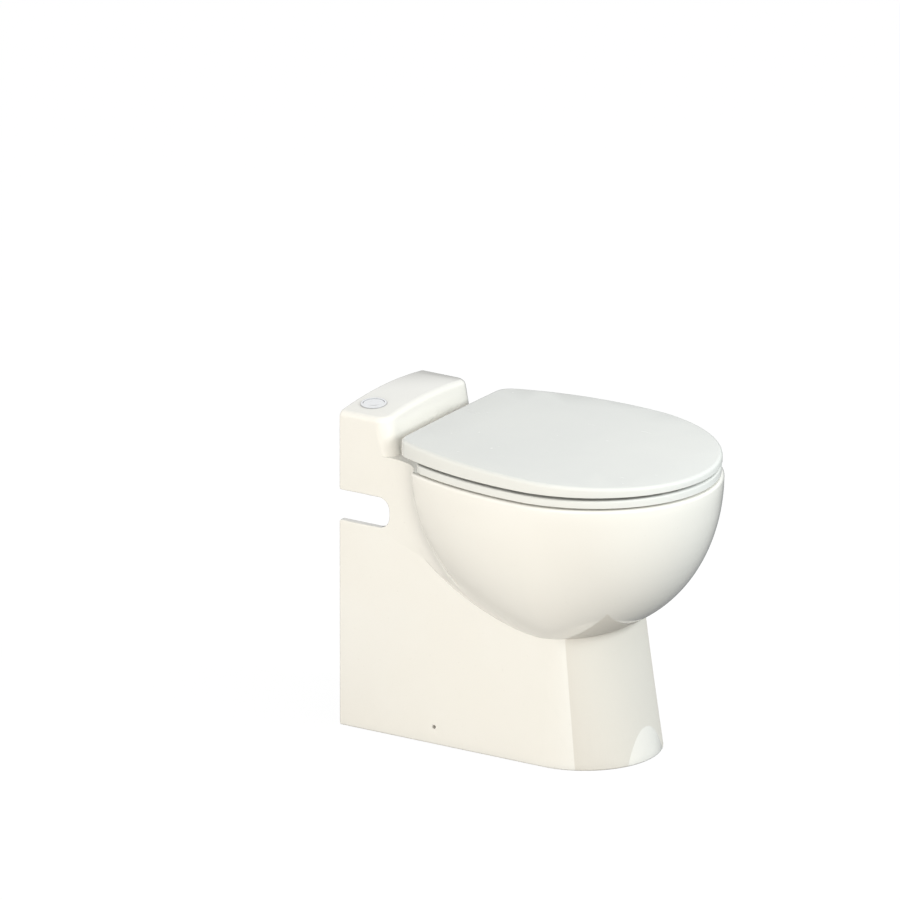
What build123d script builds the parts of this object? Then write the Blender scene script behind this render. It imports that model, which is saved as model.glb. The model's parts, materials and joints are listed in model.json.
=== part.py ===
from build123d import *
import os
from math import atan, cos, degrees, radians, sin, sqrt

# A back-to-wall macerating toilet in millimetres, with +Z up and the front facing -Y.
# The origin is on the floor, at the middle of the whole object's box.
# Places along the depth are given as distances from the wall, and y_at turns them into Y.

# china body
overall_depth = 544.0
side_half = 111.0
china_wall = 10.0
crease_from_wall = 343.0
nose_floor_reach = 111.0
nose_top_reach = 68.0
nose_top_z = 205.0
rim_z = 414.0
deck_thickness = 14.0

# bowl, as seen from outside
rim_half = 185.0
widest_from_wall = 340.0
front_reach = overall_depth - widest_from_wall
rear_reach = 334.0
side_drop = 277.0
front_drop = 237.0
rear_drop = 243.0
bowl_section_depths = (0, 45, 90, 130, 165, 195, 215, 228)
return_from_wall = 351.0
return_radius = 204.0
flare_reach = 58.0
flare_edge_half = 151.5
return_rounding = 7.0
rim_rounding = 5.0

# basin inside the bowl: height, half width, front and rear distance from the wall
basin_sections = (
    (400, 148, 512, 190),
    (345, 151, 512, 202),
    (290, 138, 500, 230),
    (245, 112, 472, 266),
    (205, 80, 424, 296),
    (172, 54, 394, 309),
    (145, 41, 380, 318),
    (118, 34, 374, 324),
)
opening_half = 121.0
opening_front = 489.0
opening_rear = 209.0
opening_rounding = 7.0
rounding_turns = (0, 18, 36, 54, 72, 90)

# small roundings of the foot and the side openings
slot_rounding = 2.0
rear_rounding = 3.0
foot_rounding = 2.5

# water trap: distance from the wall and height of each turn of its centre line
trap_turns = ((348, 98), (292, 98), (236, 214), (205, 172), (158, 172))
trap_bore = 34.0
trap_outside = 43.0
spigot_from_wall = 158.0
spigot_z = 172.0

# ledge behind the lid
ledge_z = 476.5
ledge_crown = 8.0
ledge_foot_depth = 90.0
ledge_top_depth = 78.0
ledge_corner = 22.0
ledge_rounding = 10.0
ledge_cavity_depth = 66.0

# openings in the china
slot_low = 307.0
slot_high = 352.0
slot_depth = 84.0
slot_corner = 18.0
fixing_hole = 3.0
fixing_from_wall = 160.0
fixing_z = 26.0

# seat and lid
lid_half = 183.0
lid_front = 541.0
lid_rear = 115.0
lid_corner = 28.0
lid_low = 433.0
lid_edge_z = 451.0
lid_slope = 0.032
lid_dome = 2.0
lid_rounding = 6.0
lid_wall = 4.0
seat_low = 417.0
seat_high = 428.0
seat_rear = 148.0
seat_hole_half = 109.0
seat_hole_front = 478.0
seat_hole_rear = 222.0

# hinge
hinge_from_wall = 132.0
hinge_z = 434.0
hinge_x = 73.0
pin_radius = 4.0
running_gap = 0.06
knuckle_radius = 8.0
knuckle_width = 14.0
knuckle_pitch = 16.0

# flush button
button_x = -68.0
button_from_wall = 31.0
button_radius = 15.4
barrel_bore = 15.5
barrel_radius = 16.8
bezel_radius = 19.0
bezel_low = -1.0
bezel_high = 1.8
button_top = 1.0
button_low = -2.5
button_travel = 3.0
switch_high = -26.0
switch_low = -46.0

# rubber pads: places across and from the wall
side_pad_places = ((-150, 300), (150, 300), (-52, 512), (52, 512))
foot_places = ((-70, 34), (70, 34), (-70, 124), (70, 124))

# macerator tank
tank_half = 91.0
tank_rear = 13.0
tank_front = 145.0
tank_low = 6.0
tank_high = 236.0
tank_wall = 3.0
tank_corner = 16.0
gasket_thickness = 2.5
cover_low = tank_high + gasket_thickness
cover_thickness = 5.0
cover_high = cover_low + cover_thickness

# drive line
drive_x = 0.0
drive_from_wall = 82.0
motor_radius = 46.0
motor_low = cover_high + 12.0
motor_high = motor_low + 88.0
shaft_radius = 5.0
basket_low = 96.0
basket_high = 150.0
basket_radius = 44.0
volute_low = 16.0
volute_high = 50.0
impeller_radius = 28.0

# discharge
riser_x = 70.0
riser_from_wall = 54.0
discharge_z = 330.0
discharge_radius = 16.0
discharge_bore = 13.0
discharge_end = 134.0
elbow_radius = 15.4
collar_x = 96.0
collar_radius = 19.0

# water supply
supply_from_wall = 22.0
supply_z = 330.0
thread_radius = 10.4
supply_end = 124.0
valve_low = 318.0
valve_high = 342.0
valve_left = 44.0
valve_right = 84.0
coil_x = 68.0
coil_high = 376.0
armature_low = valve_high
armature_high = armature_low + 18.0
armature_travel = 3.0
hose_radius = 6.5
hose_bore = 4.5
hose_turns = ((42, 22, 330), (13, 22, 330), (13, 24, 386), (0, 100, 386), (0, 170, 386))
hose_radii = (20, 20, 60)
nozzle_z = 386.0
nozzle_radius = 8.0

# level sensing
bell_x = -58.0
bell_from_wall = 44.0
bell_low = 118.0
membrane_low = cover_high + 4.0
plunger_low = membrane_low + 1.8
plunger_travel = 2.0

# non-return valve
check_low = cover_high + 6.0
check_high = 288.0
check_axis_x = 58.0
check_axis_z = 262.2
check_pin_radius = 1.2

# control box
control_left = -94.0
control_right = -52.0
control_rear = 90.0
control_front = 142.0
control_low = cover_high + 4.0
control_high = 304.0

# small fittings on the tank cover: middle and distance from the wall
vent_x = 24.0
vent_from_wall = 22.0
vent_radius = 12.0
capacitor_x = 70.0
capacitor_from_wall = 118.0
capacitor_radius = 14.0
capacitor_high = 304.0


def y_at(from_wall):
    return overall_depth / 2 - from_wall


def block(x0, x1, near, far, z0, z1):
    size = Box(x1 - x0, far - near, z1 - z0)
    return Pos((x0 + x1) / 2, y_at((near + far) / 2), (z0 + z1) / 2) * size


def post(x, from_wall, z0, z1, radius):
    return Pos(x, y_at(from_wall), (z0 + z1) / 2) * Cylinder(radius, z1 - z0)


def rod_x(x0, x1, from_wall, z, radius):
    turned = Rot(0, 90, 0) * Cylinder(radius, x1 - x0)
    return Pos((x0 + x1) / 2, y_at(from_wall), z) * turned


def rod_y(x, near, far, z, radius):
    turned = Rot(90, 0, 0) * Cylinder(radius, far - near)
    return Pos(x, y_at((near + far) / 2), z) * turned


def both_sides(shape):
    return shape + mirror(shape, Plane.YZ)


def group(shapes):
    return Compound(children=list(shapes))


def egg(centre, half, front, rear):
    front_arc = EllipticalCenterArc((0, y_at(centre)), half, front, 180, arc_size=180)
    rear_arc = EllipticalCenterArc((0, y_at(centre)), half, rear, 0, arc_size=180)
    return make_face([front_arc, rear_arc])


# The china's outside


def bowl_section(drop, inset=0.0):
    half = rim_half * sqrt(1 - (drop / side_drop) ** 2) - inset
    front = front_reach * sqrt(1 - (drop / front_drop) ** 2) - inset
    rear = rear_reach * sqrt(1 - (drop / rear_drop) ** 2) - inset
    return Pos(0, 0, rim_z - drop) * egg(widest_from_wall, half, front, rear)


def nose_section(reach, z, inset=0.0):
    y = y_at(crease_from_wall)
    half = side_half - inset
    arc = EllipticalCenterArc((0, y), half, reach - inset, 180, arc_size=180)
    return Pos(0, 0, z) * make_face([arc, Line((half, y), (-half, y))])


def nose_reach(z):
    return nose_floor_reach + (nose_top_reach - nose_floor_reach) * z / nose_top_z


def return_tool():
    flare_depth = flare_edge_half - side_half + 0.2
    inner = flare_edge_half - flare_depth
    outer = return_radius + flare_reach
    right = EllipticalCenterArc((flare_edge_half, outer), flare_depth, flare_reach, 180, arc_size=90)
    left = EllipticalCenterArc((-flare_edge_half, outer), flare_depth, flare_reach, 270, arc_size=90)
    top = Line((-inner, outer), (inner, outer))
    end = rim_half + 20
    base = Polyline(
        (flare_edge_half, return_radius),
        (end, return_radius),
        (end, 0),
        (-end, 0),
        (-end, return_radius),
        (-flare_edge_half, return_radius),
    )
    wheel = revolve(make_face([right, left, top, base]), Axis.X, 360)
    return Pos(0, y_at(return_from_wall), rim_z) * wheel


def from_return_axis(point):
    return sqrt((point.Y - y_at(return_from_wall)) ** 2 + (point.Z - rim_z) ** 2)


def is_return_edge(edge):
    box = edge.bounding_box()
    upright = box.max.Z - box.min.Z > 5
    behind = box.min.Y > y_at(widest_from_wall) + 1
    places = [edge.position_at(share) for share in (0.1, 0.5, 0.9)]
    on_tool = all(from_return_axis(place) > return_radius - 0.5 for place in places)
    return upright and behind and on_tool


def bowl_outside():
    bowl = loft([bowl_section(drop) for drop in bowl_section_depths])
    trimmed = bowl & return_tool()
    rounded = fillet(trimmed.edges().filter_by(is_return_edge), return_rounding)
    return rounded & rim_envelope()


def rim_envelope():
    low = rim_z - rim_rounding
    below = block(-rim_half - 20, rim_half + 20, -20, overall_depth + 20, 0, low)
    sections = []
    for turn in rounding_turns:
        z = low + rim_rounding * sin(radians(turn))
        inset = rim_rounding * (1 - cos(radians(turn)))
        outline = egg(widest_from_wall, rim_half - inset, front_reach - inset, rear_reach - inset)
        sections.append(Pos(0, 0, z) * outline)
    return below + loft(sections, ruled=True)


def ledge_section(depth, z):
    middle = y_at(depth / 2)
    plan = Pos(0, middle, z) * Rectangle(2 * side_half, depth)
    front_corners = plan.vertices().group_by(Axis.Y)[0]
    return fillet(front_corners, ledge_corner)


def ledge_outside():
    low = ledge_z - ledge_crown
    crown = ThreePointArc((-side_half, low), (0, ledge_z), (side_half, low))
    sides = Polyline((side_half, low), (side_half, 0), (-side_half, 0), (-side_half, low))
    under_crown = Pos(0, y_at(-1), 0) * Rot(90, 0, 0) * extrude(make_face([crown, sides]), ledge_foot_depth + 20)
    slope = (ledge_foot_depth - ledge_top_depth) / (ledge_z - rim_z)
    foot = ledge_section(ledge_foot_depth + 30 * slope, rim_z - 30)
    head = ledge_section(ledge_top_depth - 10 * slope, ledge_z + 10)
    bar = loft([foot, head], ruled=True) & under_crown
    top = bar.faces().sort_by(Axis.Z)[-1]
    rear = top.edges().sort_by(Axis.Y)[-1]
    return fillet([edge for edge in top.edges() if edge != rear], ledge_rounding)


def china_outside():
    box = block(-side_half, side_half, 0, crease_from_wall, 0, rim_z)
    nose = loft([nose_section(nose_floor_reach, 0), nose_section(nose_top_reach, nose_top_z)], ruled=True)
    return box + nose + bowl_outside() + ledge_outside()


# The china's inside


def basin_loft(grow):
    faces = []
    for z, half, front, rear in basin_sections:
        centre = (front + rear) / 2
        reach = (front - rear) / 2 + grow
        faces.append(Pos(0, 0, z) * egg(centre, half + grow, reach, reach))
    return loft(faces)


def trap(radius, past_end=0.0):
    points = [Vector(0, y_at(turn), z) for turn, z in trap_turns]
    points[-1] += Vector(0, past_end, 0)
    solid = Pos(points[0]) * Sphere(radius)
    for start, end in zip(points, points[1:]):
        solid += extrude(Plane(start, z_dir=end - start) * Circle(radius), (end - start).length)
    for point in points[1:-1]:
        solid += Pos(point) * Sphere(radius)
    return solid


def china_hollow():
    inner = side_half - china_wall
    hollow = block(-inner, inner, -1, crease_from_wall, -1, rim_z - deck_thickness)
    nose = loft(
        [
            nose_section(nose_reach(-1), -1, china_wall),
            nose_section(nose_reach(190), 190, china_wall),
        ],
        ruled=True,
    )
    skin = loft([bowl_section(drop, china_wall) for drop in bowl_section_depths[2:]])
    skin &= rod_x(-rim_half, rim_half, return_from_wall, rim_z, return_radius - china_wall - 2)
    ledge = block(-inner, inner, -1, ledge_cavity_depth, rim_z - 40, ledge_z - ledge_crown - china_wall)
    return hollow + nose + skin + ledge


def side_slots():
    cut = block(-side_half - 5, side_half + 5, -20, slot_depth, slot_low, slot_high)
    inner_edges = cut.edges().filter_by(Axis.X).group_by(Axis.Y)[0]
    return fillet(inner_edges, slot_corner)


def rim_opening():
    centre = (opening_front + opening_rear) / 2
    reach = (opening_front - opening_rear) / 2

    def outline(grow, z):
        return Pos(0, 0, z) * egg(centre, opening_half + grow, reach + grow, reach + grow)

    low = rim_z - opening_rounding
    sections = []
    for turn in rounding_turns:
        grow = opening_rounding * (1 - cos(radians(turn)))
        sections.append(outline(grow, low + opening_rounding * sin(radians(turn))))
    tool = loft(sections, ruled=True) + extrude(outline(0, rim_z - 25), 25 - opening_rounding)
    return tool + extrude(outline(opening_rounding, rim_z), 5)


def is_slot_edge(edge):
    box = edge.bounding_box()
    on_side = box.max.X - box.min.X < 0.01 and abs(abs(box.max.X) - side_half) < 0.01
    at_slot = box.min.Z > slot_low - 0.1 and box.max.Z < slot_high + 0.1
    return on_side and at_slot and box.min.Y > y_at(slot_depth) - 0.1


def is_rear_edge(edge):
    box = edge.bounding_box()
    at_wall = box.min.Y > y_at(0) - 0.01
    return at_wall and box.max.Z - box.min.Z > 50 and abs(box.max.X) > side_half - 3


def is_foot_edge(edge):
    box = edge.bounding_box()
    on_side = abs(abs(box.max.X) - side_half) < 0.01 and box.max.X - box.min.X < 0.01
    return box.max.Z < 0.01 and (on_side or box.min.Y < y_at(crease_from_wall + china_wall + 90))


def make_pan():
    basin_shell = basin_loft(china_wall)
    hollow = china_hollow() - basin_shell
    pan = china_outside() - hollow + trap(trap_outside)
    pan -= basin_loft(0)
    pan -= trap(trap_bore, past_end=1)
    pan -= rim_opening()
    pan -= side_slots()
    pan -= rod_x(-side_half - 5, side_half + 5, fixing_from_wall, fixing_z, fixing_hole)
    pan -= button_hole()
    pan -= rod_y(0, opening_rear - 45, opening_rear, nozzle_z, nozzle_radius)
    for side in (-1, 1):
        pan -= post(side * hinge_x, hinge_from_wall, rim_z - 20, rim_z + 5, 6)
    pan = fillet(pan.edges().filter_by(is_slot_edge), slot_rounding)
    pan = fillet(pan.edges().filter_by(is_rear_edge), rear_rounding)
    return fillet(pan.edges().filter_by(is_foot_edge), foot_rounding)


# Seat, lid and hinge


def lid_plan(grow, rear, corner):
    outline = egg(widest_from_wall, lid_half + grow, lid_front - widest_from_wall + grow, rear_reach + grow)
    keep = Pos(0, y_at(rear) - overall_depth) * Rectangle(3 * rim_half, 2 * overall_depth)
    cut = outline & keep
    return fillet(cut.vertices().group_by(Axis.Y)[-1], corner)


def lid_tool(drop):
    radius = lid_half**2 / (2 * lid_dome)
    y = y_at(widest_from_wall)
    ball = Pos(0, 0, -radius) * Rot(90, 0, 0) * Sphere(radius)
    ball &= Box(3 * rim_half, 2 * overall_depth, 120)
    return Pos(0, y, lid_edge_z + lid_dome - drop) * Rot(degrees(atan(lid_slope)), 0, 0) * ball


def make_lid():
    shell = extrude(Pos(0, 0, lid_low) * lid_plan(0, lid_rear, lid_corner), 50) & lid_tool(0)
    top = shell.faces().sort_by(Axis.Z)[-1]
    shell = fillet(top.edges(), lid_rounding)
    inside = lid_plan(-lid_wall, lid_rear + lid_wall, lid_corner - lid_wall)
    shell -= extrude(Pos(0, 0, lid_low - 1) * inside, 50) & lid_tool(lid_wall)
    notch_top = hinge_z + 12
    notch = block(hinge_x - 18, hinge_x + 25, lid_rear - 5, lid_rear + 6, lid_low - 1, notch_top)
    shell -= both_sides(notch)
    middle = hinge_x - knuckle_pitch
    low, high = middle - knuckle_width / 2, middle + knuckle_width / 2
    web = block(low, high, hinge_from_wall - 6, hinge_from_wall + 8, hinge_z, lid_edge_z + 15)
    shell += both_sides(web) & lid_tool(1)
    shell += both_sides(rod_x(low, high, hinge_from_wall, hinge_z, knuckle_radius))
    for x, from_wall in side_pad_places:
        shell += post(x, from_wall, lid_low, lid_edge_z + 15, 7) & lid_tool(1)
    bore = rod_x(low - 1, high + 1, hinge_from_wall, hinge_z, pin_radius + running_gap)
    return shell - both_sides(bore)


def make_seat():
    ring = extrude(Pos(0, 0, seat_low) * lid_plan(-1, seat_rear, lid_corner), seat_high - seat_low)
    hole_middle = (seat_hole_front + seat_hole_rear) / 2
    hole_reach = (seat_hole_front - seat_hole_rear) / 2
    hole = egg(hole_middle, seat_hole_half, hole_reach, hole_reach)
    ring -= extrude(Pos(0, 0, seat_low - 1) * hole, seat_high - seat_low + 2)
    ring = fillet(ring.faces().sort_by(Axis.Z)[-1].edges(), 3.5)
    middle = hinge_x + knuckle_pitch
    low, high = middle - knuckle_width / 2, middle + knuckle_width / 2
    arm = block(low, high, hinge_from_wall - 7, seat_rear + 16, seat_low + 3, seat_high - 1)
    arm += block(low, high, hinge_from_wall - 7, hinge_from_wall + 10, seat_low + 3, hinge_z)
    ring += both_sides(arm + rod_x(low, high, hinge_from_wall, hinge_z, knuckle_radius))
    bore = rod_x(low - 1, high + 1, hinge_from_wall, hinge_z, pin_radius + running_gap)
    return ring - both_sides(bore)


def make_hinge_posts():
    low, high = hinge_x - knuckle_width / 2, hinge_x + knuckle_width / 2
    pillar = block(low, high, hinge_from_wall - 7, hinge_from_wall + 7, rim_z + 3, hinge_z)
    pillar += rod_x(low, high, hinge_from_wall, hinge_z, knuckle_radius)
    pillar += post(hinge_x, hinge_from_wall, rim_z, rim_z + 3, 9)
    pillar -= rod_x(low - 1, high + 1, hinge_from_wall, hinge_z, pin_radius)
    pillar -= post(hinge_x, hinge_from_wall, rim_z - 1, rim_z + 10, 4)
    return group([pillar, mirror(pillar, Plane.YZ)])


def make_hinge_pins():
    low = hinge_x - knuckle_pitch - knuckle_width / 2 - 2
    high = hinge_x + knuckle_pitch + knuckle_width / 2 + 2
    pin = rod_x(low, high, hinge_from_wall, hinge_z, pin_radius)
    pin = chamfer(pin.edges().filter_by(GeomType.CIRCLE), 0.6)
    return group([pin, mirror(pin, Plane.YZ)])


def make_hinge_bolts():
    bolt = post(hinge_x, hinge_from_wall, rim_z - 42, rim_z + 10, 4)
    bolt = chamfer(bolt.edges().filter_by(GeomType.CIRCLE), 0.6)
    return group([bolt, mirror(bolt, Plane.YZ)])


def make_hinge_washers():
    under_deck = rim_z - deck_thickness
    washer = post(hinge_x, hinge_from_wall, under_deck - 4, under_deck, 13)
    washer += post(hinge_x, hinge_from_wall, under_deck, rim_z - 1, 6)
    washer -= post(hinge_x, hinge_from_wall, under_deck - 5, rim_z + 1, 4)
    return group([washer, mirror(washer, Plane.YZ)])


def make_wing_nuts():
    top = rim_z - deck_thickness - 4
    nut = post(hinge_x, hinge_from_wall, top - 10, top, 8)
    wing = block(hinge_x - 19, hinge_x + 19, hinge_from_wall - 2, hinge_from_wall + 2, top - 16, top - 3)
    wing = fillet(wing.edges().filter_by(Axis.Y), 5)
    nut += wing
    nut -= post(hinge_x, hinge_from_wall, top - 17, top + 1, 4)
    return group([nut, mirror(nut, Plane.YZ)])


def pads(places, z0, z1, radius):
    solids = []
    for x, from_wall in places:
        pad = post(x, from_wall, z0, z1, radius)
        solids.append(chamfer(pad.edges().filter_by(GeomType.CIRCLE), 0.8))
    return group(solids)


# Flush button, set square to the sloping top of the ledge


def on_ledge(shape):
    surface = ledge_z - ledge_crown * (button_x / side_half) ** 2
    tilt = degrees(atan(2 * ledge_crown * button_x / side_half**2))
    return Pos(button_x, y_at(button_from_wall), surface) * Rot(0, tilt, 0) * shape


def disc(z0, z1, radius):
    return Pos(0, 0, (z0 + z1) / 2) * Cylinder(radius, z1 - z0)


def button_hole():
    return on_ledge(disc(-40, 20, barrel_radius) + disc(bezel_low, 20, bezel_radius + 0.3))


def make_button_bezel():
    ring = disc(bezel_low, bezel_high, bezel_radius)
    ring = fillet(ring.edges().sort_by(Axis.Z)[-1], 1.5)
    ring += disc(switch_high, bezel_low, barrel_radius)
    return on_ledge(ring - disc(switch_high - 1, bezel_high + 1, barrel_bore))


def make_button_cap():
    cap = disc(button_low, button_top, button_radius)
    cap = fillet(cap.edges().sort_by(Axis.Z)[-1], 1)
    cap -= Pos(0, 0, button_top + 59) * Sphere(60)
    return on_ledge(cap + disc(switch_high + 1, button_low, 4))


def make_button_nut():
    top = -china_wall - 8
    under_ledge = ledge_z - ledge_crown - china_wall
    wedge = on_ledge(disc(top, top + 10, 20))
    wedge -= block(button_x - 30, button_x + 30, 0, ledge_foot_depth, under_ledge, ledge_z)
    body = extrude(Pos(0, 0, top - 7) * RegularPolygon(23, 6), 7)
    return on_ledge(body) + wedge - on_ledge(disc(top - 8, top + 11, barrel_radius))


def make_button_switch():
    body = disc(switch_low, switch_high, barrel_radius)
    body = fillet(body.edges().sort_by(Axis.Z)[0], 2)
    body -= disc(switch_high - 10, switch_high + 1, 4.6)
    for side in (-1, 1):
        body += Pos(6 * side, -6, switch_low - 2) * Box(1, 6, 8)
    return on_ledge(body)


def coil_spring(z0, z1, radius, turns, wire):
    height = z1 - z0 - 2 * wire
    path = Helix(pitch=height / turns, height=height, radius=radius)
    section = Plane(path @ 0, z_dir=path % 0) * Circle(wire)
    return Pos(0, 0, z0 + wire) * sweep(section, path)


def make_button_spring():
    return on_ledge(coil_spring(switch_high, button_low, 8, 5, 0.7))


# Macerator tank


def tank_plan(grow):
    depth = tank_front - tank_rear + 2 * grow
    middle = y_at((tank_front + tank_rear) / 2)
    return Pos(0, middle) * RectangleRounded(2 * (tank_half + grow), depth, tank_corner + grow)


def tank_block(grow, z0, z1):
    return extrude(Pos(0, 0, z0) * tank_plan(grow), z1 - z0)


def make_tank():
    tank = tank_block(0, tank_low, tank_high)
    tank = fillet(tank.faces().sort_by(Axis.Z)[0].edges(), 6)
    tank += tank_block(5, tank_high - 5, tank_high)
    tank += rod_y(0, tank_front - 2, spigot_from_wall - 2, spigot_z, trap_outside)
    tank -= tank_block(-tank_wall, tank_low + tank_wall, tank_high + 1)
    tank -= rod_y(0, tank_front - 8, spigot_from_wall, spigot_z, trap_bore)
    for x in (-60, -20, 20, 60):
        tank += block(x - 1.5, x + 1.5, tank_rear - 4, tank_rear + 1, tank_low + 20, tank_high - 5)
    return tank


def make_gasket():
    return tank_block(5, tank_high, cover_low) - tank_block(-tank_wall, tank_high - 1, cover_low + 1)


def screw_places():
    sides = [(side * (tank_half + 1), place) for side in (-1, 1) for place in (tank_rear + 22, tank_front - 22)]
    ends = [(x, place) for x in (-45, 45) for place in (tank_rear - 1, tank_front + 1)]
    return sides + ends


def make_cover():
    cover = tank_block(5, cover_low, cover_high)
    cover = chamfer(cover.faces().sort_by(Axis.Z)[-1].edges(), 1)
    cover += post(drive_x, drive_from_wall, cover_high, motor_low, motor_radius + 3)
    cover -= post(drive_x, drive_from_wall, cover_high + 6, motor_low + 1, motor_radius - 3)
    cover -= post(drive_x, drive_from_wall, cover_low - 1, motor_low + 1, 12)
    cover -= post(riser_x, riser_from_wall, cover_low - 1, cover_high + 1, 12)
    cover -= post(bell_x, bell_from_wall, cover_low - 1, cover_high + 1, 14)
    cover -= post(vent_x, vent_from_wall, cover_low - 1, cover_high + 1, 6)
    for x, place in screw_places():
        cover -= post(x, place, cover_low - 1, cover_high + 1, 2)
    return cover


def make_cover_screws():
    solids = []
    for x, place in screw_places():
        screw = post(x, place, cover_low, cover_high, 2)
        head = post(x, place, cover_high, cover_high + 3, 4)
        head -= block(x - 3, x + 3, place - 0.5, place + 0.5, cover_high + 1.5, cover_high + 4)
        solids.append(screw + head)
    return group(solids)


def make_vent_filter():
    cap = post(vent_x, vent_from_wall, cover_high, cover_high + 14, vent_radius)
    cap = fillet(cap.edges().sort_by(Axis.Z)[-1], 3)
    for count in range(6):
        slot = Rot(0, 0, 60 * count) * Pos(8, 0, cover_high + 12) * Box(5, 2, 8)
        cap -= Pos(vent_x, y_at(vent_from_wall), 0) * slot
    return cap


# Drive, grinder and pump


def around(count, shape):
    middle = Pos(drive_x, y_at(drive_from_wall), 0)
    return [middle * Rot(0, 0, 360 / count * number) * shape for number in range(count)]


def make_motor_can():
    can = post(drive_x, drive_from_wall, motor_low, motor_high, motor_radius)
    for rib in around(24, Pos(motor_radius, 0, (motor_low + motor_high) / 2 - 2) * Box(4, 1.6, motor_high - motor_low - 14)):
        can += rib
    can -= post(drive_x, drive_from_wall, motor_low + 4, motor_high + 1, motor_radius - 3)
    return can - post(drive_x, drive_from_wall, motor_low - 1, motor_low + 5, 9)


def make_motor_cap():
    cap = post(drive_x, drive_from_wall, motor_high, motor_high + 20, motor_radius)
    cap = fillet(cap.edges().sort_by(Axis.Z)[-1], 8)
    cap -= post(drive_x, drive_from_wall, motor_high - 1, motor_high + 16, motor_radius - 3)
    cap += post(drive_x, drive_from_wall, motor_high + 4, motor_high + 18, 17)
    cap -= post(drive_x, drive_from_wall, motor_high + 3, motor_high + 12, 13)
    for slot in around(8, Pos(28, 0, motor_high + 18) * Box(12, 3, 10)):
        cap -= slot
    return cap


def make_stator():
    low, high = motor_low + 18, motor_low + 68
    core = post(drive_x, drive_from_wall, low, high, motor_radius - 3)
    for end_low, end_high in ((low - 9, low), (high, high + 9)):
        core += post(drive_x, drive_from_wall, end_low, end_high, 38)
    return core - post(drive_x, drive_from_wall, low - 10, high + 10, 27)


def make_rotor_core():
    core = post(drive_x, drive_from_wall, motor_low + 19, motor_low + 67, 26)
    return core - post(drive_x, drive_from_wall, motor_low, motor_high, shaft_radius)


def make_shaft():
    shaft = post(drive_x, drive_from_wall, volute_low + 8, motor_high + 10, shaft_radius)
    return chamfer(shaft.edges().filter_by(GeomType.CIRCLE), 0.5)


def make_bearings():
    solids = []
    for low, seat in ((motor_low + 4, 15), (motor_high + 4, 13)):
        ring = post(drive_x, drive_from_wall, low, low + 8, seat)
        solids.append(ring - post(drive_x, drive_from_wall, low - 1, low + 9, shaft_radius + running_gap))
    return group(solids)


def make_shaft_seal():
    seal = post(drive_x, drive_from_wall, cover_low, cover_high + 6, 12)
    return seal - post(drive_x, drive_from_wall, cover_low - 1, cover_high + 7, shaft_radius + running_gap)


def make_basket():
    basket = post(drive_x, drive_from_wall, basket_low, basket_high, basket_radius)
    basket -= post(drive_x, drive_from_wall, basket_low + 3, basket_high + 1, basket_radius - 3)
    basket -= post(drive_x, drive_from_wall, basket_low - 1, basket_low + 4, 8)
    for slot in around(20, Pos(basket_radius, 0, (basket_low + basket_high) / 2) * Box(12, 5, 36)):
        basket -= slot
    for leg in around(3, Pos(30, 0, (volute_high + basket_low) / 2) * Cylinder(4, basket_low - volute_high)):
        basket += leg
    return basket


def make_blade():
    middle = Pos(drive_x, y_at(drive_from_wall), basket_low + 12)
    blade = middle * Box(70, 12, 3)
    for side in (-1, 1):
        blade += middle * Pos(33.5 * side, 0, 7) * Box(3, 12, 14)
    blade += post(drive_x, drive_from_wall, basket_low + 8, basket_low + 22, 9)
    return blade - post(drive_x, drive_from_wall, basket_low, basket_high, shaft_radius)


def make_volute():
    volute = post(drive_x, drive_from_wall, volute_low, volute_high, 38)
    middle = (volute_low + volute_high) / 2
    volute += rod_x(drive_x, riser_x - 12, riser_from_wall, middle, 12)
    for leg in around(3, Pos(30, 0, (tank_low + tank_wall + volute_low) / 2) * Cylinder(5, volute_low - tank_low - tank_wall)):
        volute += leg
    volute -= post(drive_x, drive_from_wall, volute_low + 4, volute_high - 4, 33)
    volute -= rod_x(drive_x, riser_x - 11, riser_from_wall, middle, 9)
    return volute - post(drive_x, drive_from_wall, volute_low + 5, volute_high + 1, 12)


def make_impeller():
    low = volute_low + 10
    wheel = post(drive_x, drive_from_wall, low, low + 3, impeller_radius)
    for vane in around(6, Rot(0, 0, 20) * Pos(17, 0, low + 8) * Box(20, 2.5, 12)):
        wheel += vane
    wheel += post(drive_x, drive_from_wall, low, low + 14, 9)
    return wheel - post(drive_x, drive_from_wall, low - 1, low + 15, shaft_radius)


def make_riser():
    middle = (volute_low + volute_high) / 2
    corner = Pos(riser_x, y_at(riser_from_wall), middle)

    def pipe(radius, extra):
        run = rod_x(riser_x - 12 - extra, riser_x, riser_from_wall, middle, radius)
        rise = post(riser_x, riser_from_wall, middle, check_low + extra, radius)
        return run + rise + corner * Sphere(radius)

    return pipe(12, 0) - pipe(9, 1)


# Discharge


def make_check_body():
    body = post(riser_x, riser_from_wall, check_low, check_high, 19)
    body -= post(riser_x, riser_from_wall, check_axis_z - 2.9, check_high - 4, 16)
    body -= post(riser_x, riser_from_wall, check_low - 1, check_high, 9)
    body -= post(riser_x, riser_from_wall, check_high - 5, check_high + 1, discharge_bore)
    return body - make_check_pin()


def make_check_pin():
    return rod_y(check_axis_x, riser_from_wall - 13, riser_from_wall + 13, check_axis_z, check_pin_radius)


def make_check_flap():
    flap = post(check_axis_x + 12.6, riser_from_wall, check_axis_z - 2.7, check_axis_z - 0.3, 12)
    flap += rod_y(check_axis_x, riser_from_wall - 5, riser_from_wall + 5, check_axis_z, 2.6)
    return flap - rod_y(check_axis_x, riser_from_wall - 6, riser_from_wall + 6, check_axis_z, check_pin_radius + 0.05)


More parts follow.
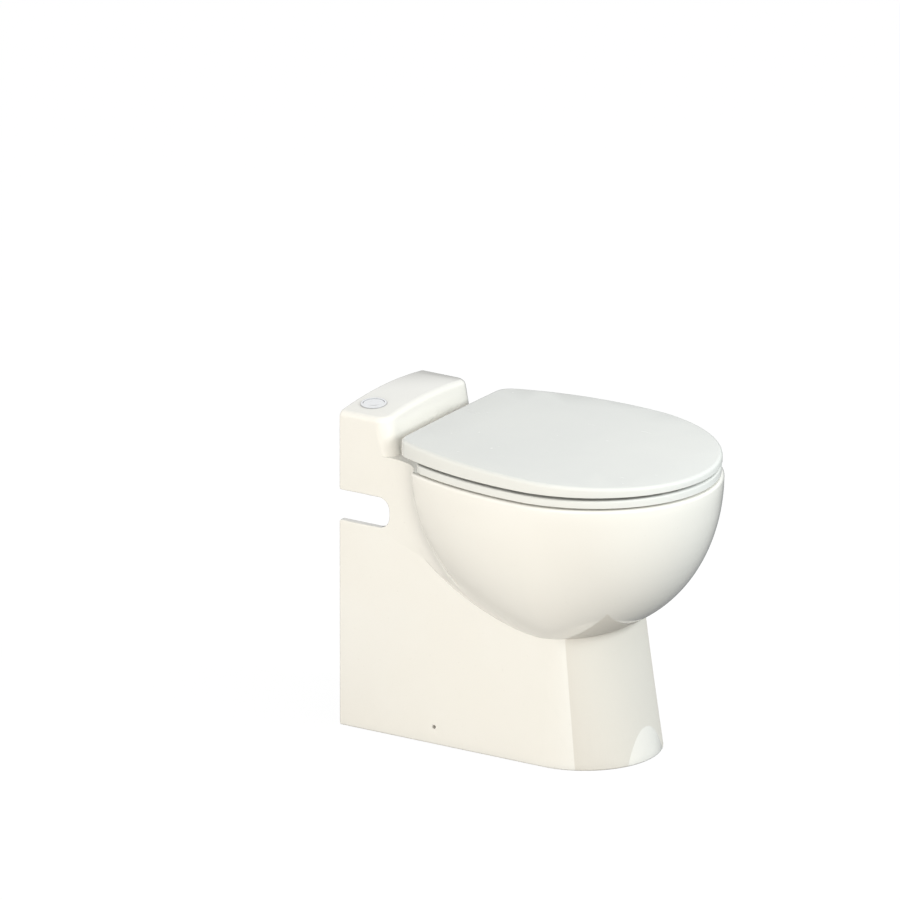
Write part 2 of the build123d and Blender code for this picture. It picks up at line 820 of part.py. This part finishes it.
def make_elbow():
    corner = Pos(riser_x, y_at(riser_from_wall), discharge_z)

    def bend(radius, low, end):
        rise = post(riser_x, riser_from_wall, low, discharge_z, radius)
        run = rod_x(riser_x, end, riser_from_wall, discharge_z, radius)
        return rise + run + corner * Sphere(radius)

    elbow = bend(elbow_radius, check_high, collar_x)
    elbow += rod_x(collar_x, collar_x + 4, riser_from_wall, discharge_z, collar_radius)
    elbow += rod_x(collar_x, discharge_end, riser_from_wall, discharge_z, discharge_radius)
    return elbow - bend(discharge_bore, check_high - 1, discharge_end + 1)


def make_discharge_nut():
    nut = post(riser_x, riser_from_wall, check_high, check_high + 11, 20)
    for count in range(10):
        grip = Rot(0, 0, 36 * count) * Pos(20, 0, check_high + 5.5) * Cylinder(1.5, 11)
        nut += Pos(riser_x, y_at(riser_from_wall), 0) * grip
    return nut - post(riser_x, riser_from_wall, check_high - 1, check_high + 12, elbow_radius)


# Waste inlet


def make_sleeve():
    sleeve = rod_y(0, tank_front, spigot_from_wall + 20, spigot_z, trap_outside + 4)
    return sleeve - rod_y(0, tank_front - 1, spigot_from_wall + 21, spigot_z, trap_outside + 0.3)


def make_bands():
    solids = []
    outside = trap_outside + 4
    for near in (tank_front + 2, spigot_from_wall + 8):
        band = rod_y(0, near, near + 8, spigot_z, outside + 1.2)
        band += block(-7, 7, near, near + 8, spigot_z + outside, spigot_z + outside + 7)
        solids.append(band - rod_y(0, near - 1, near + 9, spigot_z, outside))
    return group(solids)


# Level sensing


def make_bell():
    bell = post(bell_x, bell_from_wall, bell_low, membrane_low, 14)
    bell += post(bell_x, bell_from_wall, cover_high, membrane_low, 18)
    return bell - post(bell_x, bell_from_wall, bell_low - 1, membrane_low + 1, 12)


def make_membrane():
    sheet = post(bell_x, bell_from_wall, membrane_low, membrane_low + 1.8, 18)
    return fillet(sheet.edges().sort_by(Axis.Z)[-1], 0.5)


def make_level_switch():
    low = membrane_low + 1.8
    body = post(bell_x, bell_from_wall, low, low + 6, 18)
    body += block(bell_x - 10, bell_x + 10, bell_from_wall - 8, bell_from_wall + 8, low + 6, low + 22)
    return body - post(bell_x, bell_from_wall, low - 1, plunger_low + 13, 3)


def make_level_plunger():
    return post(bell_x, bell_from_wall, plunger_low, plunger_low + 9, 2.9)


# Water side


def make_connector():
    pipe = rod_x(valve_right, supply_end, supply_from_wall, supply_z, thread_radius)
    nut = Pos(valve_right, y_at(supply_from_wall), supply_z) * Rot(0, 90, 0) * extrude(RegularPolygon(13, 6), 8)
    return pipe + nut - rod_x(valve_right - 1, supply_end + 1, supply_from_wall, supply_z, 6)


def make_valve_body():
    body = block(valve_left, valve_right, supply_from_wall - 12, supply_from_wall + 12, valve_low, valve_high)
    body = fillet(body.edges().filter_by(Axis.X), 3)
    body += rod_x(valve_left - 9, valve_left, supply_from_wall, supply_z, hose_bore - 0.1)
    body -= rod_x(coil_x, valve_right + 1, supply_from_wall, supply_z, 6)
    body -= rod_x(valve_left - 10, coil_x + 1, supply_from_wall, supply_z, 3)
    return body


def make_valve_coil():
    coil = post(coil_x, supply_from_wall, valve_high, coil_high, 12)
    coil += block(coil_x - 14, coil_x + 14, supply_from_wall - 12, supply_from_wall + 12, valve_high + 4, coil_high - 4)
    return coil - post(coil_x, supply_from_wall, valve_high - 1, coil_high - 2, 4.6)


def make_armature():
    return post(coil_x, supply_from_wall, armature_low, armature_high, 4.5)


def make_valve_spring():
    spring = coil_spring(armature_high, coil_high - 2, 3, 5, 0.5)
    return Pos(coil_x, y_at(supply_from_wall), 0) * spring


def make_valve_bracket():
    front = supply_from_wall + 12
    plate = block(coil_x - 12, coil_x + 12, front, front + 2, valve_low, rim_z - deck_thickness)
    top = rim_z - deck_thickness
    plate += block(coil_x - 12, coil_x + 12, front, ledge_cavity_depth, top, top + 2)
    return plate + block(coil_x - 12, coil_x + 12, ledge_cavity_depth - 2, ledge_cavity_depth, top, top + 30)


def route(turns, radii):
    points = [(x, y_at(from_wall), z) for x, from_wall, z in turns]
    return FilletPolyline(*points, radius=radii)


def tube(turns, radii, radius):
    path = route(turns, radii)
    return sweep(Plane(path @ 0, z_dir=path % 0) * Circle(radius), path)


def make_hose():
    return tube(hose_turns, hose_radii, hose_radius) - tube(hose_turns, hose_radii, hose_bore)


def make_hose_clips():
    solids = []
    ring = rod_x(34, 40, supply_from_wall, supply_z, hose_radius + 1.2)
    solids.append(ring - rod_x(33, 41, supply_from_wall, supply_z, hose_radius))
    ring = rod_y(0, 162, 168, nozzle_z, hose_radius + 1.2)
    solids.append(ring - rod_y(0, 161, 169, nozzle_z, hose_radius))
    return group(solids)


def make_nozzle():
    nozzle = rod_y(0, 158, 171, nozzle_z, hose_bore - 0.1)
    nozzle += rod_y(0, 170, 199, nozzle_z, nozzle_radius)
    spreader = block(-24, 24, 197, 205, nozzle_z - 7, nozzle_z + 4)
    nozzle += fillet(spreader.edges().filter_by(Axis.Z), 3)
    return nozzle - rod_y(0, 157, 201, nozzle_z, 3)


# Control


def control_block(grow, z0, z1):
    return block(control_left - grow, control_right + grow, control_rear - grow, control_front + grow, z0, z1)


def make_control_box():
    box = control_block(0, control_low, control_high)
    box = fillet(box.edges().filter_by(Axis.Z), 4)
    box -= control_block(-2.5, control_low + 2.5, control_high + 1)
    for x in (control_left + 14, control_right - 8):
        box += block(x - 2, x + 2, control_rear + 6, control_front - 12, cover_high, control_low)
    return box


def make_control_lid():
    lid = fillet(control_block(0, control_high, control_high + 4).edges().filter_by(Axis.Z), 4)
    return chamfer(lid.faces().sort_by(Axis.Z)[-1].edges(), 1)


def make_circuit_board():
    low = control_low + 12
    board = control_block(-3, low, low + 1.6)
    middle = (control_left + control_right) / 2
    board += block(middle - 16, middle - 2, control_rear + 8, control_rear + 24, low + 1.6, low + 16)
    board += block(middle + 4, middle + 18, control_rear + 8, control_rear + 20, low + 1.6, low + 12)
    board += post(middle - 8, control_front - 14, low + 1.6, low + 20, 6)
    for corner_x in (control_left + 6, control_right - 6):
        for place in (control_rear + 6, control_front - 6):
            board += post(corner_x, place, control_low + 2.5, low, 2)
    return board


def make_gland():
    gland = rod_y(-82, control_rear - 12, control_rear, 291, 6.5)
    gland += Pos(-82, y_at(control_rear), 291) * Rot(90, 0, 0) * extrude(RegularPolygon(9, 6), -5)
    return gland - rod_y(-82, control_rear - 13, control_rear + 1, 291, 3.5)


def make_capacitor():
    can = post(capacitor_x, capacitor_from_wall, cover_high, capacitor_high, capacitor_radius)
    can = fillet(can.edges().sort_by(Axis.Z)[-1], 2)
    for side in (-1, 1):
        x = capacitor_x + 5 * side
        near = capacitor_from_wall
        can += block(x - 0.5, x + 0.5, near, near + 6, capacitor_high - 1, capacitor_high + 7)
    return can


lead_routes = (
    (((-68, 42, 427), (-68, 42, 385), (-88, 126, 373), (-88, 126, 308)), (20, 25)),
    (((54, 22, 360), (40, 22, 360), (34, 62, 376), (-62, 128, 376), (-62, 128, 308)), (10, 20, 25)),
    (((-62, 52, 262), (-62, 64, 262), (-66, 78, 272), (-66, 90, 272)), (8, 8)),
    (((-9, 84, 363.5), (-9, 84, 370.5), (-80, 104, 370.5), (-80, 104, 308)), (5, 20)),
    (((capacitor_x, 110, 304), (capacitor_x, 110, 370.5), (10, 88, 370.5), (10, 88, 363.5)), (20, 5)),
)


def make_wiring():
    return group([tube(turns, radii, 2.2) for turns, radii in lead_routes])


parts = {
    "pan": make_pan(),
    "lid": make_lid(),
    "seat_ring": make_seat(),
    "hinge_posts": make_hinge_posts(),
    "hinge_pins": make_hinge_pins(),
    "hinge_bolts": make_hinge_bolts(),
    "hinge_washers": make_hinge_washers(),
    "hinge_wing_nuts": make_wing_nuts(),
    "seat_buffers": pads(side_pad_places, rim_z, seat_low, 8),
    "lid_buffers": pads(side_pad_places, seat_high, lid_low, 6),
    "button_bezel": make_button_bezel(),
    "button_cap": make_button_cap(),
    "button_nut": make_button_nut(),
    "button_switch": make_button_switch(),
    "button_spring": make_button_spring(),
    "tank": make_tank(),
    "tank_feet": pads(foot_places, 0, tank_low, 10),
    "tank_gasket": make_gasket(),
    "tank_cover": make_cover(),
    "cover_screws": make_cover_screws(),
    "vent_filter": make_vent_filter(),
    "motor_can": make_motor_can(),
    "motor_cap": make_motor_cap(),
    "stator": make_stator(),
    "rotor_core": make_rotor_core(),
    "motor_shaft": make_shaft(),
    "motor_bearings": make_bearings(),
    "shaft_seal": make_shaft_seal(),
    "cutter_basket": make_basket(),
    "cutter_blade": make_blade(),
    "pump_volute": make_volute(),
    "pump_impeller": make_impeller(),
    "riser_pipe": make_riser(),
    "check_valve_body": make_check_body(),
    "check_flap": make_check_flap(),
    "check_pin": make_check_pin(),
    "discharge_elbow": make_elbow(),
    "discharge_nut": make_discharge_nut(),
    "inlet_sleeve": make_sleeve(),
    "sleeve_bands": make_bands(),
    "pressure_bell": make_bell(),
    "membrane": make_membrane(),
    "level_switch": make_level_switch(),
    "level_plunger": make_level_plunger(),
    "water_connector": make_connector(),
    "valve_body": make_valve_body(),
    "valve_coil": make_valve_coil(),
    "valve_armature": make_armature(),
    "valve_spring": make_valve_spring(),
    "valve_bracket": make_valve_bracket(),
    "flush_hose": make_hose(),
    "hose_clips": make_hose_clips(),
    "rim_nozzle": make_nozzle(),
    "control_box": make_control_box(),
    "control_lid": make_control_lid(),
    "circuit_board": make_circuit_board(),
    "cable_gland": make_gland(),
    "run_capacitor": make_capacitor(),
    "wiring": make_wiring(),
}

os.makedirs("parts", exist_ok=True)
for name, shape in parts.items():
    export_step(shape, f"parts/{name}.step")
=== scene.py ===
import bpy
import json
from math import radians
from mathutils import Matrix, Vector


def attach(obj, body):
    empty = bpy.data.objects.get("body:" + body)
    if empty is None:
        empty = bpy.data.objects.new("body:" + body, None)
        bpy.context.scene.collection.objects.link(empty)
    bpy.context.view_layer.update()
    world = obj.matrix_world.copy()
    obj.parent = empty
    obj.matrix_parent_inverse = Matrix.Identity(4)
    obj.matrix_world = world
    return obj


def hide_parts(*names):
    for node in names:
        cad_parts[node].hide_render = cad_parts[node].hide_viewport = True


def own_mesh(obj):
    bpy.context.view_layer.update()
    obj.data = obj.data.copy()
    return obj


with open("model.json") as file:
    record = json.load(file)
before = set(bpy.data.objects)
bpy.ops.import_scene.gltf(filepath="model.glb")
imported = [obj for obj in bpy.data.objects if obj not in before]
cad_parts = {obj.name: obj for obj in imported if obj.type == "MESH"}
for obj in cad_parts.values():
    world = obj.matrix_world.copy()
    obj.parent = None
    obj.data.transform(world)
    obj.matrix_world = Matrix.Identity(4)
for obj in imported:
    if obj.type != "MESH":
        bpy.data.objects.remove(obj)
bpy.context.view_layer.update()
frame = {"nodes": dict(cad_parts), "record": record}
nodes = frame["nodes"]
bodyNodes = frame["record"]["behaviour"]["bodies"]
bodyOf = {name: body for body, names in bodyNodes.items() for name in names}
mergeDistance = 0.00002


# selecting and finishing, as by hand

def pickOnly(piece):
    bpy.ops.object.select_all(action="DESELECT")
    piece.select_set(True)
    bpy.context.view_layer.objects.active = piece


def editPiece(piece):
    pickOnly(piece)
    bpy.ops.object.mode_set(mode="EDIT")
    bpy.ops.mesh.select_all(action="DESELECT")


def leaveEdit():
    bpy.ops.object.mode_set(mode="OBJECT")


def applyPlace(piece):
    pickOnly(piece)
    bpy.ops.object.transform_apply(location=True, rotation=True, scale=True)


def smoothPiece(piece, degreesLimit=35):
    pickOnly(piece)
    bpy.ops.object.shade_smooth_by_angle(angle=radians(degreesLimit))


# a merged copy of a CAD solid, which takes its place with soft shading
def mergedCopy(node, name, degreesLimit=35):
    source = nodes[node]
    piece = bpy.data.objects.new(name, source.data.copy())
    bpy.context.scene.collection.objects.link(piece)
    editPiece(piece)
    bpy.ops.mesh.select_all(action="SELECT")
    bpy.ops.mesh.remove_doubles(threshold=mergeDistance)
    leaveEdit()
    if piece.data.has_custom_normals:
        pickOnly(piece)
        bpy.ops.mesh.customdata_custom_splitnormals_clear()
    smoothPiece(piece, degreesLimit)
    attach(piece, bodyOf[node])
    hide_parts(node)
    return piece


# shader maths on sockets

class Wire:
    def __init__(self, recipe, socket):
        self.recipe = recipe
        self.socket = socket

    def maths(self, operation, other=0.0, swap=False):
        first, second = (other, self) if swap else (self, other)
        return self.recipe.node("ShaderNodeMath", {"operation": operation}, {0: first, 1: second})

    def __add__(self, other):
        return self.maths("ADD", other)

    def __sub__(self, other):
        return self.maths("SUBTRACT", other)

    def __rsub__(self, other):
        return self.maths("SUBTRACT", other, True)

    def __mul__(self, other):
        return self.maths("MULTIPLY", other)

    def above(self, limit):
        return self.maths("GREATER_THAN", limit)

    def below(self, limit):
        return self.maths("LESS_THAN", limit)

    def size(self):
        return self.maths("ABSOLUTE")

    def wave(self):
        return self.maths("SINE")

    def softStep(self, low, high):
        settings = {"interpolation_type": "SMOOTHSTEP"}
        inputs = {"Value": self, "From Min": low, "From Max": high}
        return self.recipe.node("ShaderNodeMapRange", settings, inputs)


class Recipe:
    def __init__(self, name, constants):
        self.material = bpy.data.materials.new(name)
        self.material.use_nodes = True
        self.tree = self.material.node_tree
        self.surface = self.tree.nodes["Principled BSDF"]
        for socket, value in constants.items():
            self.surface.inputs[socket].default_value = value
        self.place = self.node("ShaderNodeTexCoord", {}, {}, "Object")

    def node(self, kind, settings, inputs, output=0):
        made = self.tree.nodes.new(kind)
        for key, value in settings.items():
            setattr(made, key, value)
        for key, value in inputs.items():
            self.join(value, made.inputs[key])
        return Wire(self, made.outputs[output])

    def join(self, value, socket):
        if isinstance(value, Wire):
            self.tree.links.new(value.socket, socket)
        else:
            socket.default_value = value

    def feed(self, socket, value):
        self.join(value, self.surface.inputs[socket])

    def noise(self, scale, detail=3.0, roughness=0.5, place=None):
        inputs = {"Scale": scale, "Detail": detail, "Roughness": roughness}
        inputs["Vector"] = place or self.place
        return self.node("ShaderNodeTexNoise", {}, inputs, "Fac")

    def cells(self, scale, output="Distance"):
        return self.node("ShaderNodeTexVoronoi", {}, {"Vector": self.place, "Scale": scale}, output)

    def stretched(self, x, y, z):
        return self.node("ShaderNodeMapping", {}, {"Vector": self.place, "Scale": (x, y, z)})

    def blend(self, share, first, second):
        settings = {"data_type": "RGBA", "blend_type": "MIX"}
        mixed = self.tree.nodes.new("ShaderNodeMix")
        for key, value in settings.items():
            setattr(mixed, key, value)
        self.join(share, mixed.inputs[0])
        for index, value in ((6, first), (7, second)):
            self.join(value if isinstance(value, Wire) else (*value, 1), mixed.inputs[index])
        return Wire(self, mixed.outputs[2])

    def bump(self, height, distance, strength=1.0):
        inputs = {"Height": height, "Distance": distance, "Strength": strength}
        self.feed("Normal", self.node("ShaderNodeBump", {}, inputs))

    def axes(self):
        apart = self.tree.nodes.new("ShaderNodeSeparateXYZ")
        self.join(self.place, apart.inputs[0])
        return [Wire(self, out) for out in apart.outputs]


# finishes

glazeLook = {
    "cream": (0.93, 0.906, 0.845),
    "pale": (0.945, 0.928, 0.878),
    # bisque colour for the real specks and for the unglazed zones, which it also darkens as painted
    # shade
    "bisqueAndShade": (0.70, 0.665, 0.60),
    "nearFloorTone": (0.865, 0.86, 0.82),
    "innerHalf": 0.1005,
    "innerFront": -0.172,
    "innerTop": 0.3995,
    "wallSide": 0.2705,
    "floorSide": 0.0008,
    "nearFloorTop": 0.012,
    "orangePeel": 0.00006,
}


def glazedChina():
    look = glazeLook
    constants = {"IOR": 1.52, "Coat Roughness": 0.03, "Coat IOR": 1.5, "Specular IOR Level": 0.5}
    recipe = Recipe("glazedChina", constants)
    x, y, z = recipe.axes()
    cloud = recipe.noise(3.2, 4.0, 0.55)
    speck = recipe.noise(240, 2.0).softStep(0.69, 0.78)
    colour = recipe.blend(cloud.softStep(0.35, 0.7), look["cream"], look["pale"])
    colour = recipe.blend(speck * 0.16, colour, look["bisqueAndShade"])
    # the colour turns greyer towards the floor, over the lowest 12 mm
    nearFloorShare = z.softStep(look["nearFloorTop"], 0.0) * 0.4
    colour = recipe.blend(nearFloorShare, colour, look["nearFloorTone"])
    # the inside, the back and the underside are unglazed bisque, and the hollow inside is darker as
    # painted shade
    shadedHollow = x.size().below(look["innerHalf"]) * y.above(look["innerFront"]) * z.below(look["innerTop"])
    back = y.above(look["wallSide"])
    unglazedAndShade = recipe.node("ShaderNodeMath", {"operation": "MAXIMUM"}, {0: shadedHollow, 1: back})
    underside = z.below(look["floorSide"])
    unglazedAndShade = recipe.node("ShaderNodeMath", {"operation": "MAXIMUM"}, {0: unglazedAndShade, 1: underside})
    # painted shade: the unglazed zones take the darker bisque colour
    recipe.feed("Base Color", recipe.blend(unglazedAndShade * 0.75, colour, look["bisqueAndShade"]))
    recipe.feed("Coat Weight", 1.0 - unglazedAndShade)
    rough = recipe.noise(26, 3.0) * 0.07 + 0.07
    recipe.feed("Roughness", rough + unglazedAndShade * 0.55)
    grain = recipe.noise(900, 2.0) * unglazedAndShade * 3.0
    recipe.bump(recipe.noise(85, 2.0, 0.4) + grain, look["orangePeel"], 0.5)
    return recipe.material


seatLook = {
    "white": (0.825, 0.828, 0.79),
    "shade": (0.80, 0.804, 0.772),
    "grainSize": 1600,
    "grainHeight": 0.00003,
}


def seatPlastic():
    look = seatLook
    recipe = Recipe("seatPlastic", {"IOR": 1.5, "Specular IOR Level": 0.5, "Coat Roughness": 0.12})
    drift = recipe.noise(5, 3.0)
    colour = recipe.blend(drift.softStep(0.35, 0.65), look["white"], look["shade"])
    scuff = recipe.noise(14, 6.0, 0.7, recipe.stretched(6, 1, 1)).softStep(0.62, 0.8)
    recipe.feed("Base Color", recipe.blend(scuff * 0.25, colour, look["shade"]))
    recipe.feed("Roughness", recipe.noise(60, 4.0) * 0.1 + scuff * 0.08 + 0.2)
    recipe.feed("Coat Weight", 0.35 - scuff * 0.2)
    height = recipe.noise(look["grainSize"], 2.0) + recipe.noise(12, 2.0) * 2.0
    recipe.bump(height, look["grainHeight"], 0.5)
    return recipe.material


# colour, colour where worn, roughness, and the scale of the grain
plasticLook = {
    "greyMoulding": ((0.43, 0.44, 0.45), (0.52, 0.53, 0.54), 0.42, 900),
    "darkMoulding": ((0.022, 0.022, 0.024), (0.07, 0.07, 0.072), 0.45, 1100),
    "whiteNylon": ((0.78, 0.77, 0.72), (0.68, 0.66, 0.6), 0.38, 700),
    "blueMoulding": ((0.02, 0.05, 0.22), (0.06, 0.1, 0.3), 0.4, 900),
    "paleRubber": ((0.68, 0.68, 0.66), (0.58, 0.58, 0.56), 0.62, 500),
    "blackRubber": ((0.018, 0.018, 0.018), (0.055, 0.054, 0.052), 0.68, 420),
    "hoseRubber": ((0.06, 0.063, 0.066), (0.11, 0.11, 0.11), 0.55, 380),
    "wireSleeve": ((0.02, 0.02, 0.022), (0.06, 0.06, 0.06), 0.4, 600),
}


def mouldedPlastic(name):
    plain, worn, rough, grain = plasticLook[name]
    recipe = Recipe(name, {"IOR": 1.47, "Specular IOR Level": 0.5})
    drift = recipe.noise(18, 4.0).softStep(0.35, 0.7)
    rubbed = recipe.noise(70, 6.0, 0.75).softStep(0.58, 0.72)
    colour = recipe.blend(drift * 0.3 + rubbed * 0.45, plain, worn)
    recipe.feed("Base Color", colour)
    recipe.feed("Roughness", recipe.noise(90, 3.0) * 0.16 + rubbed * 0.06 + (rough - 0.08))
    recipe.bump(recipe.noise(grain, 3.0) + rubbed * 0.4, 0.00012, 0.6)
    return recipe.material


# colour, colour where dull, roughness, and the scale of the drawn lines along each axis
metalLook = {
    "brushedSteel": ((0.60, 0.61, 0.62), (0.42, 0.42, 0.43), 0.26, (400, 400, 30)),
    "castMotor": ((0.50, 0.51, 0.52), (0.36, 0.37, 0.38), 0.48, (160, 160, 160)),
    "turnedBrass": ((0.66, 0.47, 0.18), (0.42, 0.28, 0.1), 0.24, (700, 60, 60)),
    "woundCopper": ((0.60, 0.24, 0.09), (0.34, 0.12, 0.05), 0.34, (60, 60, 900)),
}
threadStart = 0.0925
threadWaves = 3466.0
windingWaves = 7800.0


def workedMetal(name):
    bright, dull, rough, drawnScale = metalLook[name]
    recipe = Recipe(name, {"IOR": 1.5})
    x, y, z = recipe.axes()
    drawn = recipe.noise(1.0, 4.0, 0.6, recipe.stretched(*drawnScale))
    tarnish = recipe.noise(38, 5.0, 0.65).softStep(0.45, 0.75)
    recipe.feed("Base Color", recipe.blend(tarnish * 0.5 + drawn * 0.3, bright, dull))
    recipe.feed("Metallic", 1.0 - tarnish * 0.12)
    recipe.feed("Roughness", drawn * 0.18 + tarnish * 0.14 + (rough - 0.08))
    height = drawn
    if name == "turnedBrass":  # pipe thread on the free end of the connector
        height = drawn * 0.1 + (x * threadWaves).wave() * x.above(threadStart) * 6.0
    if name == "woundCopper":  # turns of wire
        height = drawn * 0.2 + (z * windingWaves).wave() * 2.0
    recipe.bump(height, 0.0001, 0.8)
    return recipe.material


def polishedChrome():
    recipe = Recipe("polishedChrome", {"IOR": 1.5})
    smear = recipe.noise(110, 5.0, 0.7).softStep(0.5, 0.8)
    hair = recipe.noise(1.0, 3.0, 0.6, recipe.stretched(900, 60, 900)).softStep(0.62, 0.8)
    recipe.feed("Base Color", recipe.blend(smear * 0.4, (0.82, 0.83, 0.84), (0.70, 0.71, 0.72)))
    recipe.feed("Metallic", 1.0 - smear * 0.05)
    recipe.feed("Roughness", smear * 0.08 + hair * 0.06 + 0.07)
    recipe.bump(hair, 0.00002, 0.4)
    return recipe.material


def lacqueredBoard():
    recipe = Recipe("lacqueredBoard", {"IOR": 1.5})
    tracks = recipe.cells(220).softStep(0.0, 0.25)
    recipe.feed("Base Color", recipe.blend(tracks, (0.02, 0.16, 0.06), (0.01, 0.09, 0.035)))
    recipe.feed("Roughness", recipe.noise(120, 3.0) * 0.15 + 0.22)
    recipe.bump(tracks, 0.00008, 0.6)
    return recipe.material


finishes = {
    "china": glazedChina(),
    "white_plastic": seatPlastic(),
    "soft_white": mouldedPlastic("paleRubber"),
    "white_nylon": mouldedPlastic("whiteNylon"),
    "grey_plastic": mouldedPlastic("greyMoulding"),
    "dark_plastic": mouldedPlastic("darkMoulding"),
    "blue_plastic": mouldedPlastic("blueMoulding"),
    "chrome": polishedChrome(),
    "steel": workedMetal("brushedSteel"),
    "motor_metal": workedMetal("castMotor"),
    "copper": workedMetal("woundCopper"),
    "brass": workedMetal("turnedBrass"),
    "rubber": mouldedPlastic("blackRubber"),
    "hose_rubber": mouldedPlastic("hoseRubber"),
    "green_board": lacqueredBoard(),
    "wire": mouldedPlastic("wireSleeve"),
}
slotOf = {entry["node"]: entry["material_slot"] for entry in frame["record"]["subparts"]}
print("finishes ready")


def dress(piece, slotName):
    piece.data.materials.clear()
    piece.data.materials.append(finishes[slotName])


# every solid gets a merged, softly shaded copy

smoothAngles = {"pan": 28, "lid": 30, "seat_ring": 30}
pieces = {}
for nodeName in nodes:
    pieceName = nodeName.replace("_", "-") + "-skin"
    pieces[nodeName] = mergedCopy(nodeName, pieceName, smoothAngles.get(nodeName, 38))
    dress(pieces[nodeName], slotOf[nodeName])
print("skins ready", len(pieces))

# the two return springs, listed with their joints, fixed ends and travel, each get a mesh of their own
springLook = {
    "button_spring": {"joint": "button_press", "fixedEnd": 0.4476, "travel": 0.0032},
    "valve_spring": {"joint": "valve_armature_lift", "fixedEnd": 0.374, "travel": 0.0031},
}
for nodeName, spring in springLook.items():
    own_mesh(pieces[nodeName])
print("springs ready")


# floor, backdrop, light and camera

stageLook = {
    "floorHalf": 6.0,
    "floorTop": -0.0005,
    "paper": (0.3, 0.3, 0.3),
    "glow": 0.75,
    "strength": 1.27,
}


def paperMaterial():
    recipe = Recipe("stagePaper", {"Roughness": 0.9, "Specular IOR Level": 0.0})
    recipe.feed("Base Color", (*stageLook["paper"], 1))
    ray = recipe.tree.nodes.new("ShaderNodeLightPath")
    seen = Wire(recipe, ray.outputs["Is Camera Ray"])
    white = {"Color": (1, 1, 1, 1), "Strength": stageLook["strength"]}
    glow = recipe.node("ShaderNodeEmission", {}, white)
    mix = recipe.node("ShaderNodeMixShader", {}, {0: seen * stageLook["glow"]})
    mixNode = mix.socket.node
    recipe.tree.links.new(recipe.surface.outputs[0], mixNode.inputs[1])
    recipe.tree.links.new(glow.socket, mixNode.inputs[2])
    recipe.tree.links.new(mix.socket, recipe.tree.nodes["Material Output"].inputs["Surface"])
    return recipe.material


def makeStage():
    bpy.ops.object.select_all(action="DESELECT")
    place = (0, 0, stageLook["floorTop"])
    bpy.ops.mesh.primitive_plane_add(size=2 * stageLook["floorHalf"], location=place)
    floor = bpy.context.object
    floor.name = "stage-floor"
    applyPlace(floor)
    floor.data.materials.append(paperMaterial())


# a camera ray sees white, and reflections fade to grey at the horizon
def makeWorld():
    world = bpy.data.worlds.new("studio")
    bpy.context.scene.world = world
    world.use_nodes = True
    tree = world.node_tree
    tree.nodes.clear()
    ray = tree.nodes.new("ShaderNodeLightPath")
    seen = tree.nodes.new("ShaderNodeMath")
    seen.operation = "MAXIMUM"
    tree.links.new(ray.outputs["Is Camera Ray"], seen.inputs[0])
    tree.links.new(ray.outputs["Is Glossy Ray"], seen.inputs[1])
    toward = tree.nodes.new("ShaderNodeTexCoord")
    apart = tree.nodes.new("ShaderNodeSeparateXYZ")
    tree.links.new(toward.outputs["Generated"], apart.inputs[0])
    rise = tree.nodes.new("ShaderNodeMapRange")
    rise.interpolation_type = "SMOOTHSTEP"
    rise.inputs["From Max"].default_value = lightLook["hazeTop"]
    rise.inputs["To Min"].default_value = lightLook["horizon"]
    tree.links.new(apart.outputs["Z"], rise.inputs["Value"])
    strength = tree.nodes.new("ShaderNodeMath")
    strength.operation = "MAXIMUM"
    tree.links.new(ray.outputs["Is Camera Ray"], strength.inputs[0])
    tree.links.new(rise.outputs[0], strength.inputs[1])
    fill = tree.nodes.new("ShaderNodeBackground")
    fill.inputs["Color"].default_value = (*lightLook["sky"], 1)
    fill.inputs["Strength"].default_value = lightLook["fill"]
    white = tree.nodes.new("ShaderNodeBackground")
    white.inputs["Color"].default_value = (1, 1, 1, 1)
    tree.links.new(strength.outputs[0], white.inputs["Strength"])
    mix = tree.nodes.new("ShaderNodeMixShader")
    tree.links.new(seen.outputs[0], mix.inputs[0])
    tree.links.new(fill.outputs[0], mix.inputs[1])
    tree.links.new(white.outputs[0], mix.inputs[2])
    out = tree.nodes.new("ShaderNodeOutputWorld")
    tree.links.new(mix.outputs[0], out.inputs["Surface"])


lightLook = {
    "fill": 0.625,
    "sky": (0.99, 1.0, 0.995),
    "horizon": 0.35,
    "hazeTop": 0.36,
    "lamps": {
        "sideBox": {
            "at": (-2.6, -0.1, 0.5), "size": (1.6, 1.0), "power": 41.5, "tint": (1.0, 0.955, 0.875),
        },
        "frontStrip": {
            "at": (0.5, -2.1, 1.5), "size": (0.9, 0.6), "power": 35.0, "tint": (0.92, 0.985, 1.0),
        },
    },
    "aim": (0, 0, 0.25),
}


def makeLamps():
    for name, lamp in lightLook["lamps"].items():
        bpy.ops.object.select_all(action="DESELECT")
        bpy.ops.object.light_add(type="AREA", location=lamp["at"])
        light = bpy.context.object
        light.name = name
        light.data.shape = "RECTANGLE"
        light.data.size, light.data.size_y = lamp["size"]
        light.data.energy = lamp["power"]
        light.data.color = lamp["tint"]
        toward = Vector(lightLook["aim"]) - Vector(lamp["at"])
        light.rotation_euler = toward.to_track_quat("-Z", "Y").to_euler()
        light.visible_glossy = False


cameraLook = {
    "middle": (0.0, 0.1565, 0.4001),
    "away": (-0.79705, -0.51174, 0.32062),
    "frameWidth": 1.2739,
    "lens": 1400.0,
    "clipEnd": 400,
    "sensor": 36.0,
}


def makeCamera():
    look = cameraLook
    distance = look["frameWidth"] * look["lens"] / look["sensor"]
    away = Vector(look["away"]).normalized()
    bpy.ops.object.select_all(action="DESELECT")
    bpy.ops.object.camera_add(location=Vector(look["middle"]) + away * distance)
    camera = bpy.context.object
    camera.rotation_euler = (-away).to_track_quat("-Z", "Y").to_euler()
    camera.data.lens = look["lens"]
    camera.data.sensor_width = look["sensor"]
    camera.data.clip_end = look["clipEnd"]
    bpy.context.scene.camera = camera


makeStage()
makeWorld()
makeLamps()
makeCamera()
bpy.context.scene.view_settings.view_transform = "Standard"
print("stage ready")
